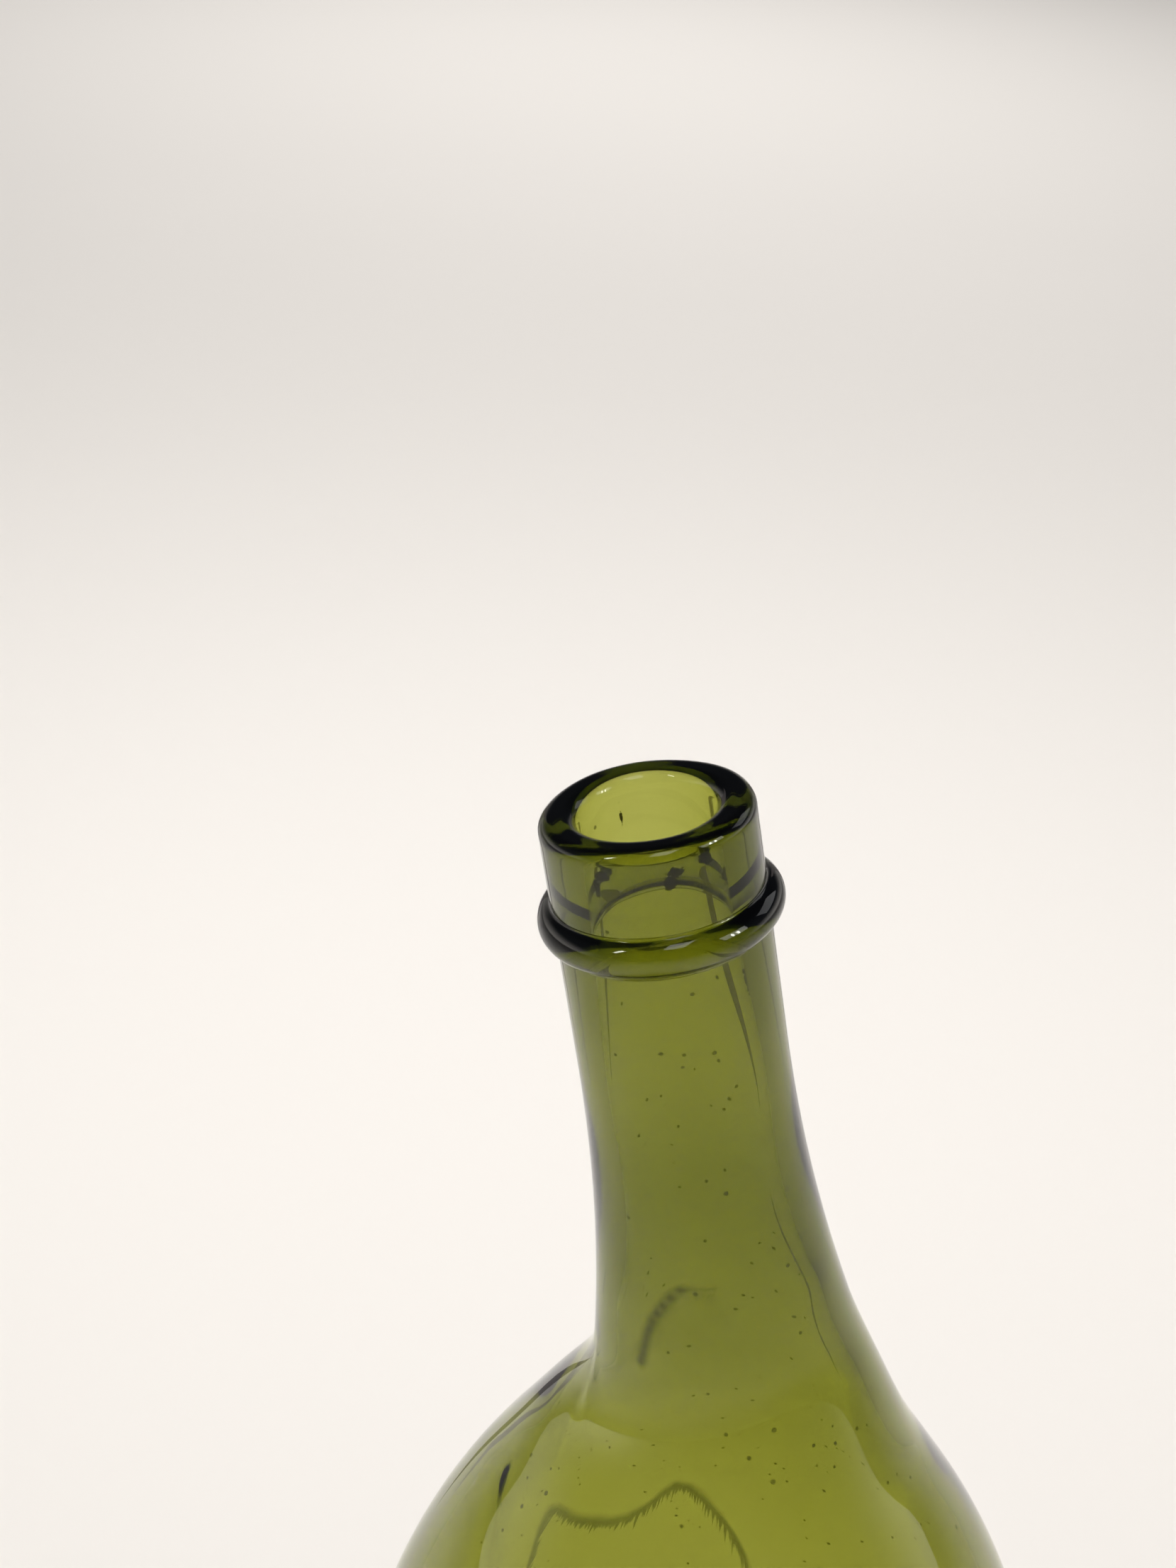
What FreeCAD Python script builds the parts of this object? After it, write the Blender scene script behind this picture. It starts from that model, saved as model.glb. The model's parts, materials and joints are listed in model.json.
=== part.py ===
import FreeCAD, Part
import math
import os
import Sketcher

# A hand-blown wine bottle with a crooked neck. It stands on z = 0 with its body about the Z axis, and its neck
# leans towards -X in the XZ plane. Lengths are in millimetres and angles in degrees.
SIZES = {
    # Body, blown into a round dip mould
    "body_diameter": 107.8,
    "body_wall": 3.4,
    "shoulder_height": 152.0,
    "heel_radius": 9.0,
    "standing_width": 4.0,
    # Push-up, the dome pressed into the base
    "pushup_depth": 34.0,
    "pushup_tip_radius": 14.0,
    "pushup_rim_radius": 5.0,
    "base_thickness": 7.0,
    "valley_radius": 6.0,
    # Shoulder, an arc that runs on into a short cone
    "shoulder_radius": 103.0,
    "shoulder_angle": 34.8,
    "root_diameter": 58.2,
    # Bend, where the neck leaves the axis of the body
    "lean_angle": 11.7,
    "bend_length": 22.0,
    # Neck, drawn straight and flared at its foot
    "neck_diameter": 28.6,
    "neck_length": 81.4,
    "flare_radius": 246.0,
    "flare_angle": 10.5,
    "bore_diameter": 18.2,
    "bore_flare_radius": 125.0,
    "bore_flare_angle": 16.0,
    # Lip, rounded in the fire
    "lip_radius": 1.8,
    "mouth_radius": 2.0,
    # String ring, laid on round the neck
    "ring_drop": 14.9,
    "ring_height": 5.4,
    "ring_proud": 2.1,
}

doc = FreeCAD.newDocument("bottle")
sheet = doc.addObject("Spreadsheet::Sheet", "sizes")
for row, (alias, number) in enumerate(SIZES.items(), start=1):
    sheet.set(f"A{row}", alias)
    sheet.set(f"B{row}", str(number))
    sheet.setAlias(f"B{row}", alias)
doc.recompute()

# Sizes that follow from the sheet, written as formulas on its cells
BODY_RADIUS = "(sizes.body_diameter / 2)"
ROOT_RADIUS = "(sizes.root_diameter / 2)"
NECK_RADIUS = "(sizes.neck_diameter / 2)"
BORE_RADIUS = "(sizes.bore_diameter / 2)"
NECK_WALL = f"({NECK_RADIUS} - {BORE_RADIUS})"
LIP_ROUND = f"min(sizes.lip_radius; 0.45 * {NECK_WALL})"
MOUTH_ROUND = f"min(sizes.mouth_radius; 0.45 * {NECK_WALL})"

# The standing ring is flat between the heel and the rim of the push-up
STAND_OUTER = f"({BODY_RADIUS} - sizes.heel_radius)"
STAND_INNER = f"({STAND_OUTER} - sizes.standing_width)"

# The cone of the shoulder starts where the arc has turned to its angle, and ends at the root of the neck
CONE_RADIUS = f"({BODY_RADIUS} - sizes.shoulder_radius * (1 - cos(sizes.shoulder_angle)))"
CONE_HEIGHT = "(sizes.shoulder_height + sizes.shoulder_radius * sin(sizes.shoulder_angle))"
ROOT_HEIGHT = f"({CONE_HEIGHT} + ({CONE_RADIUS} - {ROOT_RADIUS}) / tan(sizes.shoulder_angle))"
INNER_ROOT_RADIUS = f"({ROOT_RADIUS} - sizes.body_wall / cos(sizes.shoulder_angle))"

# The foot of the straight neck, outside and in the bore
FLARE_LENGTH = "(sizes.flare_radius * sin(sizes.flare_angle))"
BORE_FLARE_LENGTH = "(sizes.bore_flare_radius * sin(sizes.bore_flare_angle))"
FOOT_RADIUS = f"({NECK_RADIUS} + sizes.flare_radius * (1 - cos(sizes.flare_angle)))"
INNER_FOOT_RADIUS = f"({BORE_RADIUS} + sizes.bore_flare_radius * (1 - cos(sizes.bore_flare_angle)))"


def value(formula):
    """The number that a formula gives with the sheet's sizes."""
    return float(sheet.evalExpression(formula))


def centre_x(share):
    """How far the centre line has left the Z axis at a share of the bend."""
    return f"(-sizes.bend_length * sin(sizes.lean_angle) * {share ** 3 - share ** 4 / 2:.6f})"


def centre_z(share):
    """The height of the centre line at a share of the bend."""
    drop = 9 / 5 * share ** 5 - 2 * share ** 6 + 4 / 7 * share ** 7
    return f"({ROOT_HEIGHT} + sizes.bend_length * ({share} - (1 - cos(sizes.lean_angle)) * {drop:.6f}))"


def tilt(share):
    """The tilt of the centre line, which starts and ends the bend without a kink."""
    return f"(sizes.lean_angle * {3 * share ** 2 - 2 * share ** 3:.6f})"


def bend_radius(share, root, root_slope, foot, foot_slope):
    """A radius that leaves the shoulder and meets the neck at the slopes they have there."""
    root_weight = 2 * share ** 3 - 3 * share ** 2 + 1
    leave_weight = share ** 3 - 2 * share ** 2 + share
    meet_weight = share ** 2 - share ** 3
    return (
        f"({root_weight:.6f} * {root} + {1 - root_weight:.6f} * {foot} + sizes.bend_length"
        f" * ({meet_weight:.6f} * tan({foot_slope}) - {leave_weight:.6f} * tan({root_slope})))"
    )


def new_body(label):
    body = doc.addObject("PartDesign::Body", label)
    body.Label = label
    return body


def new_sketch(body, name, role):
    """A sketch on one of the body's own planes."""
    sketch = body.newObject("Sketcher::SketchObject", name)
    plane = next(item for item in body.Origin.OriginFeatures if item.Role == role)
    sketch.AttachmentSupport = (plane, [""])
    sketch.MapMode = "FlatFace"
    return sketch


def lean(sketch):
    """Set a sketch of the XZ plane at the foot of the neck, with its upright along the neck."""
    sketch.AttachmentOffset = FreeCAD.Placement(
        FreeCAD.Vector(value(centre_x(1)), value(centre_z(1)), 0),
        FreeCAD.Rotation(FreeCAD.Vector(0, 0, 1), value("sizes.lean_angle")),
    )
    sketch.setExpression("AttachmentOffset.Base.x", centre_x(1))
    sketch.setExpression("AttachmentOffset.Base.y", centre_z(1))
    sketch.setExpression("AttachmentOffset.Rotation.Angle", "sizes.lean_angle")


def line(sketch, start, end):
    segment = Part.LineSegment(FreeCAD.Vector(*start, 0), FreeCAD.Vector(*end, 0))
    return sketch.addGeometry(segment, False)


def arc(sketch, centre, radius, first, last):
    """An arc that runs anticlockwise from the first angle to the last."""
    circle = Part.Circle(FreeCAD.Vector(*centre, 0), FreeCAD.Vector(0, 0, 1), radius)
    return sketch.addGeometry(Part.ArcOfCircle(circle, math.radians(first), math.radians(last)), False)


def hold(sketch, kind, *ends):
    sketch.addConstraint(Sketcher.Constraint(kind, *ends))


def drive(sketch, name, formula, kind, *ends):
    """A named dimension of the sketch, driven by a formula."""
    number = value(formula)
    if kind == "Angle":
        number = math.radians(number)
    index = sketch.addConstraint(Sketcher.Constraint(kind, *ends, number))
    sketch.renameConstraint(index, name)
    sketch.setExpression(f"Constraints.{name}", formula)


# Ends of a line or an arc, and the centre of an arc, as a sketch counts them
START = 1
END = 2
CENTRE = 3
ORIGIN = (-1, 1)


def revolve(body, kind, name, sketch):
    """Turn a sketch fully about its upright axis, to add glass or to cut it away."""
    feature = body.newObject(f"PartDesign::{kind}", name)
    feature.Profile = sketch
    feature.ReferenceAxis = (sketch, ["V_Axis"])
    feature.Angle = 360
    sketch.Visibility = False
    doc.recompute()
    return feature


def loft_bend(body, kind, name, root, foot, foot_slope):
    """Carry the shoulder into the leaning neck through circles set square to the centre line."""
    shares = [0, 0.08, 0.22, 0.4, 0.6, 0.78, 0.92, 1]
    circles = []
    for number, share in enumerate(shares):
        sketch = new_sketch(body, f"{name}_circle_{number}", "XY_Plane")
        sketch.AttachmentOffset = FreeCAD.Placement(
            FreeCAD.Vector(value(centre_x(share)), 0, value(centre_z(share))),
            FreeCAD.Rotation(FreeCAD.Vector(0, -1, 0), value(tilt(share))),
        )
        sketch.setExpression("AttachmentOffset.Base.x", centre_x(share))
        sketch.setExpression("AttachmentOffset.Base.z", centre_z(share))
        if share > 0:
            sketch.setExpression("AttachmentOffset.Rotation.Angle", tilt(share))
        formula = bend_radius(share, root, "sizes.shoulder_angle", foot, foot_slope)
        circle = Part.Circle(FreeCAD.Vector(0, 0, 0), FreeCAD.Vector(0, 0, 1), value(formula))
        ring = sketch.addGeometry(circle, False)
        hold(sketch, "Coincident", ring, CENTRE, *ORIGIN)
        drive(sketch, "radius", formula, "Radius", ring)
        sketch.Visibility = False
        circles.append(sketch)
    feature = body.newObject(f"PartDesign::{kind}", name)
    feature.Profile = circles[0]
    feature.Sections = circles[1:]
    doc.recompute()
    return feature


# Bottle body: outside of base, side, shoulder and cone
bottle = new_body("bottle_body")
body_radius = value(BODY_RADIUS)
cone_angle = value("sizes.shoulder_angle")
shoulder_height = value("sizes.shoulder_height")
shoulder_radius = value("sizes.shoulder_radius")
heel_radius = value("sizes.heel_radius")
stand_outer = value(STAND_OUTER)
stand_inner = value(STAND_INNER)
cone_start = (value(CONE_RADIUS), value(CONE_HEIGHT))
root = (value(ROOT_RADIUS), value(ROOT_HEIGHT))
shoulder_centre = (body_radius - shoulder_radius, shoulder_height)

outside = new_sketch(bottle, "body_outside", "XZ_Plane")
base = line(outside, (0, 0), (stand_outer, 0))
heel = arc(outside, (stand_outer, heel_radius), heel_radius, 270, 360)
side = line(outside, (body_radius, heel_radius), (body_radius, shoulder_height))
shoulder = arc(outside, shoulder_centre, shoulder_radius, 0, cone_angle)
cone = line(outside, cone_start, root)
top = line(outside, root, (0, root[1]))
axis = line(outside, (0, root[1]), (0, 0))
hold(outside, "Coincident", base, START, *ORIGIN)
hold(outside, "Horizontal", base)
hold(outside, "Tangent", base, END, heel, START)
hold(outside, "Tangent", heel, END, side, START)
hold(outside, "Vertical", side)
hold(outside, "Tangent", side, END, shoulder, START)
hold(outside, "Tangent", shoulder, END, cone, START)
hold(outside, "Coincident", cone, END, top, START)
hold(outside, "Horizontal", top)
hold(outside, "Coincident", top, END, axis, START)
hold(outside, "Vertical", axis)
hold(outside, "Coincident", axis, END, *ORIGIN)
drive(outside, "heel_radius", "sizes.heel_radius", "Radius", heel)
drive(outside, "body_radius", BODY_RADIUS, "DistanceX", *ORIGIN, side, END)
drive(outside, "shoulder_height", "sizes.shoulder_height", "DistanceY", *ORIGIN, side, END)
drive(outside, "shoulder_radius", "sizes.shoulder_radius", "Radius", shoulder)
drive(outside, "cone_slope", "90 + sizes.shoulder_angle", "Angle", cone)
drive(outside, "root_radius", ROOT_RADIUS, "DistanceX", *ORIGIN, cone, END)
revolve(bottle, "Revolution", "body_glass", outside)

# Bottle body: outside of the bend
loft_bend(bottle, "AdditiveLoft", "bend_glass", ROOT_RADIUS, FOOT_RADIUS, "sizes.flare_angle")

# Bottle body: outside of the neck, from its flared foot to the rounded lip
neck_radius = value(NECK_RADIUS)
neck_length = value("sizes.neck_length")
flare_radius = value("sizes.flare_radius")
flare_angle = value("sizes.flare_angle")
flare_length = value(FLARE_LENGTH)
lip_round = value(LIP_ROUND)
foot_radius = value(FOOT_RADIUS)

neck = new_sketch(bottle, "neck_outside", "XZ_Plane")
lean(neck)
foot = line(neck, (0, 0), (foot_radius, 0))
flare = arc(neck, (neck_radius + flare_radius, flare_length), flare_radius, 180, 180 + flare_angle)
wall = line(neck, (neck_radius, flare_length), (neck_radius, neck_length - lip_round))
lip = arc(neck, (neck_radius - lip_round, neck_length - lip_round), lip_round, 0, 90)
top = line(neck, (neck_radius - lip_round, neck_length), (0, neck_length))
axis = line(neck, (0, neck_length), (0, 0))
hold(neck, "Coincident", foot, START, *ORIGIN)
hold(neck, "Horizontal", foot)
hold(neck, "Coincident", foot, END, flare, END)
hold(neck, "Tangent", flare, START, wall, START)
hold(neck, "Vertical", wall)
hold(neck, "Tangent", wall, END, lip, START)
hold(neck, "Tangent", lip, END, top, START)
hold(neck, "Horizontal", top)
hold(neck, "Coincident", top, END, axis, START)
hold(neck, "Coincident", axis, END, *ORIGIN)
hold(neck, "Vertical", axis)
drive(neck, "neck_radius", NECK_RADIUS, "DistanceX", *ORIGIN, wall, START)
drive(neck, "flare_length", FLARE_LENGTH, "DistanceY", *ORIGIN, wall, START)
drive(neck, "flare_radius", "sizes.flare_radius", "Radius", flare)
drive(neck, "lip_radius", LIP_ROUND, "Radius", lip)
drive(neck, "neck_length", "sizes.neck_length", "DistanceY", *ORIGIN, axis, START)
revolve(bottle, "Revolution", "neck_glass", neck)
outer_volume = bottle.Shape.Volume

# Bottle body: the hollow of base, side, shoulder and cone, with a valley round the push-up
wall_thickness = value("sizes.body_wall")
base_thickness = value("sizes.base_thickness")
valley_radius = value("sizes.valley_radius")
pushup_depth = value("sizes.pushup_depth")
tip_radius = value("sizes.pushup_tip_radius")
rim_radius = value("sizes.pushup_rim_radius")
TIP_HEIGHT = "(sizes.pushup_depth - sizes.pushup_tip_radius)"
tip_height = value(TIP_HEIGHT)

# The flank of the push-up is tangent to its rim and its tip, which sets its slope
rounds = rim_radius + tip_radius
rise = tip_height - rim_radius
span = math.hypot(stand_inner, rise)
flank_angle = math.degrees(math.asin(rounds / span) + math.atan2(rise, stand_inner))
flank_out = (math.sin(math.radians(flank_angle)), math.cos(math.radians(flank_angle)))

inner_tip_radius = tip_radius + base_thickness
inner_tip_end = (inner_tip_radius * flank_out[0], tip_height + inner_tip_radius * flank_out[1])
inner_side_radius = body_radius - wall_thickness
inner_shoulder_radius = shoulder_radius - wall_thickness
valley_reach = tip_radius + base_thickness + valley_radius
valley_x = inner_side_radius - valley_radius
valley_run = (valley_x - valley_reach * flank_out[0]) / flank_out[1]
valley_centre = (valley_x, tip_height + valley_reach * flank_out[1] - valley_run * flank_out[0])
valley_start = (
    valley_centre[0] - valley_radius * flank_out[0],
    valley_centre[1] - valley_radius * flank_out[1],
)
inner_cone_start = (
    shoulder_centre[0] + inner_shoulder_radius * math.cos(math.radians(cone_angle)),
    shoulder_centre[1] + inner_shoulder_radius * math.sin(math.radians(cone_angle)),
)
inner_root = (value(INNER_ROOT_RADIUS), root[1])

hollow = new_sketch(bottle, "body_inside", "XZ_Plane")
tip = arc(hollow, (0, tip_height), inner_tip_radius, 90 - flank_angle, 90)
flank = line(hollow, inner_tip_end, valley_start)
valley = arc(hollow, valley_centre, valley_radius, 270 - flank_angle, 360)
side = line(hollow, (inner_side_radius, valley_centre[1]), (inner_side_radius, shoulder_height))
shoulder = arc(hollow, shoulder_centre, inner_shoulder_radius, 0, cone_angle)
cone = line(hollow, inner_cone_start, inner_root)
top = line(hollow, inner_root, (0, inner_root[1]))
axis = line(hollow, (0, inner_root[1]), (0, tip_height + inner_tip_radius))
hold(hollow, "PointOnObject", tip, CENTRE, -2)
hold(hollow, "PointOnObject", tip, END, -2)
hold(hollow, "Tangent", tip, START, flank, START)
hold(hollow, "Tangent", flank, END, valley, START)
hold(hollow, "Tangent", valley, END, side, START)
hold(hollow, "Vertical", side)
hold(hollow, "Tangent", side, END, shoulder, START)
hold(hollow, "Tangent", shoulder, END, cone, START)
hold(hollow, "Coincident", cone, END, top, START)
hold(hollow, "Horizontal", top)
hold(hollow, "Coincident", top, END, axis, START)
hold(hollow, "Vertical", axis)
hold(hollow, "Coincident", axis, END, tip, END)
drive(hollow, "tip_radius", "sizes.pushup_tip_radius + sizes.base_thickness", "Radius", tip)
drive(hollow, "tip_height", TIP_HEIGHT, "DistanceY", *ORIGIN, tip, CENTRE)
drive(hollow, "valley_radius", "sizes.valley_radius", "Radius", valley)
drive(hollow, "side_radius", f"{BODY_RADIUS} - sizes.body_wall", "DistanceX", *ORIGIN, side, END)
drive(hollow, "shoulder_height", "sizes.shoulder_height", "DistanceY", *ORIGIN, side, END)
drive(hollow, "shoulder_radius", "sizes.shoulder_radius - sizes.body_wall", "Radius", shoulder)
drive(hollow, "cone_slope", "90 + sizes.shoulder_angle", "Angle", cone)
drive(hollow, "root_height", ROOT_HEIGHT, "DistanceY", *ORIGIN, cone, END)
RIM_RUN = f"({STAND_INNER} * {STAND_INNER} + ({TIP_HEIGHT} - sizes.pushup_rim_radius) ^ 2)"
FLANK_SLOPE = (
    f"asin((sizes.pushup_rim_radius + sizes.pushup_tip_radius) / sqrt({RIM_RUN}))"
    f" + atan(({TIP_HEIGHT} - sizes.pushup_rim_radius) / {STAND_INNER})"
)
drive(hollow, "flank_slope", f"-1 * ({FLANK_SLOPE})", "Angle", flank)
revolve(bottle, "Groove", "body_hollow", hollow)

# Bottle body: the hollow of the bend
loft_bend(
    bottle, "SubtractiveLoft", "bend_hollow", INNER_ROOT_RADIUS, INNER_FOOT_RADIUS, "sizes.bore_flare_angle"
)

# Bottle body: the bore, straight where a cork goes and flared at the foot, with a rounded mouth
bore_radius = value(BORE_RADIUS)
bore_flare_radius = value("sizes.bore_flare_radius")
bore_flare_angle = value("sizes.bore_flare_angle")
bore_flare_length = value(BORE_FLARE_LENGTH)
mouth_round = value(MOUTH_ROUND)

bore = new_sketch(bottle, "neck_inside", "XZ_Plane")
lean(bore)
foot = line(bore, (0, 0), (value(INNER_FOOT_RADIUS), 0))
flare_centre = (bore_radius + bore_flare_radius, bore_flare_length)
flare = arc(bore, flare_centre, bore_flare_radius, 180, 180 + bore_flare_angle)
wall = line(bore, (bore_radius, bore_flare_length), (bore_radius, neck_length - mouth_round))
mouth = arc(bore, (bore_radius + mouth_round, neck_length - mouth_round), mouth_round, 90, 180)
top = line(bore, (bore_radius + mouth_round, neck_length), (0, neck_length))
axis = line(bore, (0, neck_length), (0, 0))
hold(bore, "Coincident", foot, START, *ORIGIN)
hold(bore, "Horizontal", foot)
hold(bore, "Coincident", foot, END, flare, END)
hold(bore, "Tangent", flare, START, wall, START)
hold(bore, "Vertical", wall)
hold(bore, "Tangent", wall, END, mouth, END)
hold(bore, "Tangent", mouth, START, top, START)
hold(bore, "Horizontal", top)
hold(bore, "Coincident", top, END, axis, START)
hold(bore, "Coincident", axis, END, *ORIGIN)
hold(bore, "Vertical", axis)
drive(bore, "bore_radius", BORE_RADIUS, "DistanceX", *ORIGIN, wall, START)
drive(bore, "flare_length", BORE_FLARE_LENGTH, "DistanceY", *ORIGIN, wall, START)
drive(bore, "flare_radius", "sizes.bore_flare_radius", "Radius", flare)
drive(bore, "mouth_radius", MOUTH_ROUND, "Radius", mouth)
drive(bore, "neck_length", "sizes.neck_length", "DistanceY", *ORIGIN, axis, START)
revolve(bottle, "Groove", "neck_hollow", bore)
hollow_volume = outer_volume - bottle.Shape.Volume

# Bottle body: the push-up, a rounded cone pressed up from below, with a rounded rim inside the standing ring
rim_end = (stand_inner - rim_radius * flank_out[0], rim_radius - rim_radius * flank_out[1])
tip_end = (tip_radius * flank_out[0], tip_height + tip_radius * flank_out[1])

pushup = new_sketch(bottle, "pushup_outside", "XZ_Plane")
base = line(pushup, (0, 0), (stand_inner, 0))
rim = arc(pushup, (stand_inner, rim_radius), rim_radius, 270 - flank_angle, 270)
flank = line(pushup, rim_end, tip_end)
tip = arc(pushup, (0, tip_height), tip_radius, 90 - flank_angle, 90)
axis = line(pushup, (0, pushup_depth), (0, 0))
hold(pushup, "Coincident", base, START, *ORIGIN)
hold(pushup, "Horizontal", base)
hold(pushup, "Tangent", base, END, rim, END)
hold(pushup, "Tangent", rim, START, flank, START)
hold(pushup, "Tangent", flank, END, tip, START)
hold(pushup, "PointOnObject", tip, CENTRE, -2)
hold(pushup, "Coincident", tip, END, axis, START)
hold(pushup, "Vertical", axis)
hold(pushup, "Coincident", axis, END, *ORIGIN)
drive(pushup, "stand_inner", STAND_INNER, "DistanceX", *ORIGIN, base, END)
drive(pushup, "rim_radius", "sizes.pushup_rim_radius", "Radius", rim)
drive(pushup, "tip_radius", "sizes.pushup_tip_radius", "Radius", tip)
drive(pushup, "pushup_depth", "sizes.pushup_depth", "DistanceY", *ORIGIN, axis, START)
revolve(bottle, "Groove", "pushup_hollow", pushup)

# String ring: a round trail of glass on the neck, seated on the neck's own outside
ring = new_body("string_ring")
RING_MIDDLE = "(sizes.neck_length - sizes.ring_drop)"
RING_ROUND = "((sizes.ring_height ^ 2 / 4 + sizes.ring_proud ^ 2) / (2 * sizes.ring_proud))"
ring_middle = value(RING_MIDDLE)
ring_half = value("sizes.ring_height") / 2
ring_round = value(RING_ROUND)
ring_centre_x = neck_radius + value("sizes.ring_proud") - ring_round
ring_angle = math.degrees(math.atan2(ring_half, neck_radius - ring_centre_x))

trail = new_sketch(ring, "ring_section", "XZ_Plane")
lean(trail)
seat = line(trail, (neck_radius, ring_middle - ring_half), (neck_radius, ring_middle + ring_half))
bead = arc(trail, (ring_centre_x, ring_middle), ring_round, -ring_angle, ring_angle)
hold(trail, "Vertical", seat)
hold(trail, "Coincident", seat, START, bead, START)
hold(trail, "Coincident", seat, END, bead, END)
drive(trail, "seat_radius", NECK_RADIUS, "DistanceX", *ORIGIN, seat, START)
drive(trail, "seat_height", f"{RING_MIDDLE} - sizes.ring_height / 2", "DistanceY", *ORIGIN, seat, START)
drive(trail, "ring_height", "sizes.ring_height", "DistanceY", seat, START, seat, END)
drive(trail, "ring_round", RING_ROUND, "Radius", bead)
revolve(ring, "Revolution", "ring_glass", trail)

# Every piece is whole before any is written
doc.recompute()
for item in doc.Objects:
    if "Invalid" in item.State or "Error" in item.State:
        raise RuntimeError(f"{item.Label} failed: {item.State}")
os.makedirs("parts", exist_ok=True)
for piece in (bottle, ring):
    shape = piece.Shape
    if shape.isNull() or not shape.isValid() or len(shape.Solids) != 1:
        raise RuntimeError(f"{piece.Label} is not one sound solid")
for piece in (bottle, ring):
    piece.Shape.exportStep(f"parts/{piece.Label}.step")
    box = piece.Shape.optimalBoundingBox(True, False)
    print(f"{piece.Label}: {piece.Shape.Volume / 1000:.1f} ml of glass, top at {box.ZMax:.2f} mm")
print(f"filled to the brim the bottle holds {hollow_volume / 1000:.0f} ml")
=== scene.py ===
import json
import math

import bmesh
import bpy
from mathutils import Matrix, Vector, noise
from mathutils.geometry import interpolate_bezier


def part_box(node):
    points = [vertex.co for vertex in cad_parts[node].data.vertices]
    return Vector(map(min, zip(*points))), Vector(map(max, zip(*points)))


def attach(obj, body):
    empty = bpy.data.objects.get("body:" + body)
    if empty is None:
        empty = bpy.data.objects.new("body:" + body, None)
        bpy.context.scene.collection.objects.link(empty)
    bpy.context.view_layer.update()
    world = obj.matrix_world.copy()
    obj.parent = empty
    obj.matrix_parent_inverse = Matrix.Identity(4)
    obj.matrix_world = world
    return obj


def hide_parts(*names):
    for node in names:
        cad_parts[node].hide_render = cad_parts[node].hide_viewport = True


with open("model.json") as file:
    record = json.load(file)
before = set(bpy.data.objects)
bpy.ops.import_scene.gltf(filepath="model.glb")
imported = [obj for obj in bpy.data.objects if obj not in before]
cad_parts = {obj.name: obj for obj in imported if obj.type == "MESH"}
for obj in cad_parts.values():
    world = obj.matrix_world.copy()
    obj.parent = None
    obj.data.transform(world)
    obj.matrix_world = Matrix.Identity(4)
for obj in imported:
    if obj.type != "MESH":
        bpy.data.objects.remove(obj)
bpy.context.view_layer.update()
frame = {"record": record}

# Bottle body
# One gather of olive-green glass, blown into a round dip mould. Its base was pushed up, its neck was drawn
# out and cut off, and the cut was melted round in the fire. It was handled while soft, so its neck leans.
mouth_bore = next(mount for mount in frame["record"]["mounts"] if mount["name"] == "mouth_bore")
body_low, body_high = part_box("bottle_body")
body_radius = (body_high[0] - body_low[0]) / 2
body_wall = 0.0034
heel_radius = 0.009
standing_width = 0.004
pushup_depth = 0.034
tip_radius = 0.014
rim_radius = 0.005
base_thickness = 0.007
valley_radius = 0.006
shoulder_height = 0.152
shoulder_radius = 0.103
shoulder_angle = math.radians(34.8)
root_radius = 0.0291
lean_angle = math.acos(mouth_bore["axis"][2])
bend_length = 0.022
neck_radius = 0.0143
neck_length = 0.0814
flare_radius = 0.246
flare_angle = math.radians(10.5)
bore_radius = mouth_bore["dims"]["r_mm"] / 1000
bore_flare_radius = 0.125
bore_flare_angle = math.radians(16.0)
lip_radius = 0.0018
mouth_radius = 0.002
ring_drop = 0.0149
ring_height = 0.0054
ring_proud = 0.0021
ring_fillet = 0.0006

# Heights along the centre line, which runs straight up to the root, through the bend and on along the neck
cone_radius = body_radius - shoulder_radius * (1 - math.cos(shoulder_angle))
cone_height = shoulder_height + shoulder_radius * math.sin(shoulder_angle)
root_height = cone_height + (cone_radius - root_radius) / math.tan(shoulder_angle)
foot_height = root_height + bend_length
mouth_height = foot_height + neck_length

# The string ring sits on a band of the neck, as wide as its bead and the fillets above and below it
ring_middle = mouth_height - ring_drop
ring_round = (ring_height ** 2 / 4 + ring_proud ** 2) / (2 * ring_proud)
ring_centre = neck_radius + ring_proud - ring_round
band_half = math.sqrt((ring_round + ring_fillet) ** 2 - (neck_radius + ring_fillet - ring_centre) ** 2)

# Each point of the glass keeps which wall it is on, how far it lies from each mark, and where the painted
# shade along the crease falls
glass = bmesh.new()
inside = glass.verts.layers.float.new("inside")
fused = glass.faces.layers.float.new("fused")
frayed_line_distance = glass.verts.layers.float.new("frayed_line_distance")
painted_crease_shade = glass.verts.layers.float.new("painted_crease_shade")
dirt = glass.verts.layers.float.new("dirt")


def draw_line(bm, vertex, radius, height, step):
    """Carry an outline straight on to a point, with points between for the ripples to move."""
    run = Vector((radius, 0, height)) - vertex.co
    steps = max(1, round(run.length / step))
    drawn = bmesh.ops.spin(bm, geom=[vertex], dvec=run / steps, axis=(0, -1, 0), angle=0, steps=steps)
    return next(item for item in drawn["geom_last"] if isinstance(item, bmesh.types.BMVert))


def draw_arc(bm, vertex, radius, height, angle, step):
    """Carry an outline on round a centre, anticlockwise for a positive angle."""
    centre = Vector((radius, 0, height))
    steps = max(3, round(abs(angle) * (vertex.co - centre).length / step))
    turned = bmesh.ops.spin(bm, geom=[vertex], cent=centre, axis=(0, -1, 0), angle=angle, steps=steps)
    return next(item for item in turned["geom_last"] if isinstance(item, bmesh.types.BMVert))


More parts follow.
